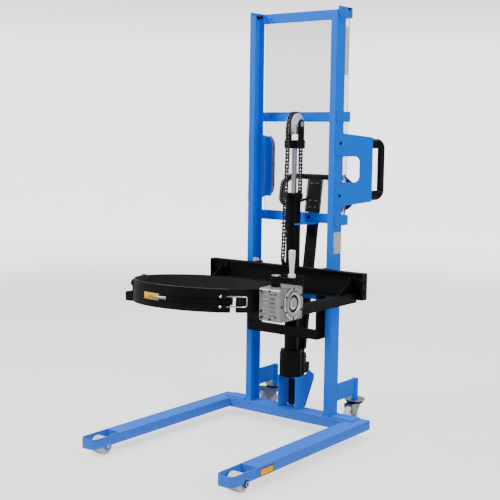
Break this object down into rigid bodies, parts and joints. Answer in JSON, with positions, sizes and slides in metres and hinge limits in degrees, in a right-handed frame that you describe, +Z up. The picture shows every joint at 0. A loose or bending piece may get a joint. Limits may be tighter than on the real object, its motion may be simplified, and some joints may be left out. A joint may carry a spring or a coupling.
{
  "type": "drum tipper",
  "caption": "Manual hydraulic drum lifter and tipper: straddle base on rollers, twin mast, chain-lifted carriage and a geared clamp ring turned by a crank.",
  "frame": {"origin": "centre of the bounding box on the floor", "axes": "+X is the operator's right with the gearbox, +Y points from the drum to the operator, +Z is up"},
  "size_m": [0.9076, 1.262, 1.96],
  "materials": {
    "blue_paint": "semi_gloss",
    "black_paint": "satin",
    "black_plastic": "matte",
    "cast_aluminium": "satin",
    "zinc": "satin",
    "chain_steel": "satin",
    "hard_chrome": "polished",
    "bronze": "satin",
    "lining_rubber": "matte",
    "nylon": "matte",
    "clear_sheet": "polished",
    "white_plastic": "semi_gloss"
  },
  "bodies": {
    "chassis": {"base_crossbeam": "blue_paint", "left_leg": "blue_paint", "right_leg": "blue_paint", "roller_forks": "blue_paint", "front_axles": "zinc", "left_mast": "blue_paint", "right_mast": "blue_paint", "cross_straps": "blue_paint", "cylinder_saddle": "blue_paint", "safety_screen": "clear_sheet", "frame_bolts": "chain_steel", "handle_brackets": "blue_paint", "handle_grips": "black_plastic", "caster_arms": "blue_paint", "pump_bracket": "blue_paint", "pump_body": "black_paint", "lift_cylinder": "black_paint", "chain_anchor": "black_paint", "chain_rear_run": "chain_steel"},
    "left_front_wheel": {"left_front_roller": "nylon"},
    "right_front_wheel": {"right_front_roller": "nylon"},
    "left_swivel": {"left_caster_fork": "zinc"},
    "right_swivel": {"right_caster_fork": "zinc"},
    "left_rear_wheel": {"left_caster_wheel": "nylon"},
    "right_rear_wheel": {"right_caster_wheel": "nylon"},
    "pedal": {"brake_pedal": "zinc"},
    "ram": {"lift_rod": "hard_chrome", "clevis_head": "black_paint", "pulley_axle": "zinc", "chain_over_pulley": "chain_steel"},
    "pulley": {"chain_pulley": "white_plastic"},
    "carriage": {"carriage_beam": "black_paint", "carriage_frame": "black_paint", "left_arm": "black_paint", "right_arm": "black_paint", "beam_bolts": "zinc", "roller_axles": "black_paint", "chain_lug": "black_paint", "gearbox_housing": "cast_aluminium", "gearbox_cover": "cast_aluminium", "left_bearing": "black_paint", "chain_front_run": "chain_steel"},
    "upper_left_guide": {"upper_left_roller": "nylon"},
    "upper_right_guide": {"upper_right_roller": "nylon"},
    "lower_left_guide": {"lower_left_roller": "nylon"},
    "lower_right_guide": {"lower_right_roller": "nylon"},
    "ring": {"ring_frame": "black_paint", "ring_lining": "lining_rubber", "worm_wheel": "bronze", "hinge_pin": "zinc"},
    "door": {"ring_door": "black_paint", "door_lining": "lining_rubber"},
    "lever": {"latch_lever": "zinc"},
    "bolt": {"latch_bolt": "zinc"},
    "crank": {"crank_handle": "black_paint"},
    "grip": {"crank_grip": "white_plastic"},
    "tiller": {"tiller_column": "black_paint", "tiller_handle": "black_paint"},
    "release": {"release_lever": "zinc"},
    "plunger": {"pump_plunger": "hard_chrome"}
  },
  "joints": [
    {"name": "ram_slide", "type": "slide", "parent": "chassis", "child": "ram", "axis": [0, 0, 1], "range_m": [-0.14, 0.42], "deforming": ["chain_rear_run"]},
    {"name": "carriage_slide", "type": "slide", "parent": "ram", "child": "carriage", "axis": [0, 0, 1], "range_m": [-0.14, 0.42], "deforming": ["chain_front_run"]},
    {"name": "pulley_spin", "type": "hinge", "parent": "ram", "child": "pulley", "pos_m": [-0.01526, 0.35504, 1.437], "axis": [1, 0, 0], "continuous": true},
    {"name": "upper_left_spin", "type": "hinge", "parent": "carriage", "child": "upper_left_guide", "pos_m": [-0.24026, 0.35604, 0.76], "axis": [1, 0, 0], "continuous": true},
    {"name": "upper_right_spin", "type": "hinge", "parent": "carriage", "child": "upper_right_guide", "pos_m": [0.20974, 0.35604, 0.76], "axis": [1, 0, 0], "continuous": true},
    {"name": "lower_left_spin", "type": "hinge", "parent": "carriage", "child": "lower_left_guide", "pos_m": [-0.24026, 0.35604, 0.482], "axis": [1, 0, 0], "continuous": true},
    {"name": "lower_right_spin", "type": "hinge", "parent": "carriage", "child": "lower_right_guide", "pos_m": [0.20974, 0.35604, 0.482], "axis": [1, 0, 0], "continuous": true},
    {"name": "ring_tilt", "type": "hinge", "parent": "carriage", "child": "ring", "pos_m": [-0.01526, -0.27496, 0.715], "axis": [-1, 0, 0], "range_deg": [-130, 130]},
    {"name": "crank_turn", "type": "hinge", "parent": "carriage", "child": "crank", "pos_m": [0.38474, -0.33796, 0.799], "axis": [0, 0, 1], "continuous": true},
    {"name": "crank_grip_spin", "type": "hinge", "parent": "crank", "child": "grip", "pos_m": [0.43426, -0.30064, 0.86], "axis": [0, 0, 1], "continuous": true},
    {"name": "door_swing", "type": "hinge", "parent": "ring", "child": "door", "pos_m": [-0.33729, -0.33161, 0.71886], "axis": [0, -0.068, -0.9977], "range_deg": [0, 40]},
    {"name": "lever_swing", "type": "hinge", "parent": "door", "child": "lever", "pos_m": [0.25423, -0.45974, 0.7276], "axis": [0, 0.068, 0.9977], "range_deg": [0, 70]},
    {"name": "bolt_swing", "type": "hinge", "parent": "lever", "child": "bolt", "pos_m": [0.23983, -0.48851, 0.72956], "axis": [0, 0.068, 0.9977], "range_deg": [-70, 0]},
    {"name": "tiller_swing", "type": "hinge", "parent": "chassis", "child": "tiller", "pos_m": [-0.01526, 0.42904, 0.33], "axis": [-1, 0, 0], "range_deg": [0, 35]},
    {"name": "plunger_slide", "type": "slide", "parent": "chassis", "child": "plunger", "axis": [0, 0, 1], "range_m": [-0.013, 0]},
    {"name": "release_swing", "type": "hinge", "parent": "tiller", "child": "release", "pos_m": [-0.04376, 0.5174, 1.08111], "axis": [0, -0.9895, 0.1444], "range_deg": [-15, 20], "stiffness_Nm_per_rad": 0.6},
    {"name": "left_swivel_turn", "type": "hinge", "parent": "chassis", "child": "left_swivel", "pos_m": [-0.25226, 0.55904, 0.16], "axis": [0, 0, 1], "continuous": true},
    {"name": "right_swivel_turn", "type": "hinge", "parent": "chassis", "child": "right_swivel", "pos_m": [0.22174, 0.55904, 0.16], "axis": [0, 0, 1], "continuous": true},
    {"name": "left_wheel_spin", "type": "hinge", "parent": "left_swivel", "child": "left_rear_wheel", "pos_m": [-0.27701, 0.53429, 0.05], "axis": [0.7071, -0.7071, 0], "continuous": true},
    {"name": "right_wheel_spin", "type": "hinge", "parent": "right_swivel", "child": "right_rear_wheel", "pos_m": [0.22174, 0.52404, 0.05], "axis": [1, 0, 0], "continuous": true},
    {"name": "pedal_swing", "type": "hinge", "parent": "left_swivel", "child": "pedal", "pos_m": [-0.3166, 0.4947, 0.098], "axis": [0.7071, -0.7071, 0], "range_deg": [0, 12]},
    {"name": "left_front_spin", "type": "hinge", "parent": "chassis", "child": "left_front_wheel", "pos_m": [-0.38976, -0.53996, 0.0375], "axis": [1, 0, 0], "continuous": true},
    {"name": "right_front_spin", "type": "hinge", "parent": "chassis", "child": "right_front_wheel", "pos_m": [0.35924, -0.53996, 0.0375], "axis": [1, 0, 0], "continuous": true}
  ],
  "couplings": [
    {"joint": "carriage_slide", "follows": "ram_slide", "ratio": 1},
    {"joint": "pulley_spin", "follows": "ram_slide", "rad_per_m": -19.708},
    {"joint": "upper_left_spin", "follows": "ram_slide", "rad_per_m": 64.516},
    {"joint": "upper_right_spin", "follows": "ram_slide", "rad_per_m": 64.516},
    {"joint": "lower_left_spin", "follows": "ram_slide", "rad_per_m": -64.516},
    {"joint": "lower_right_spin", "follows": "ram_slide", "rad_per_m": -64.516},
    {"joint": "crank_turn", "follows": "ring_tilt", "ratio": 40},
    {"joint": "bolt_swing", "follows": "lever_swing", "ratio": -1},
    {"joint": "plunger_slide", "follows": "tiller_swing", "m_per_rad": -0.0206}
  ]
}
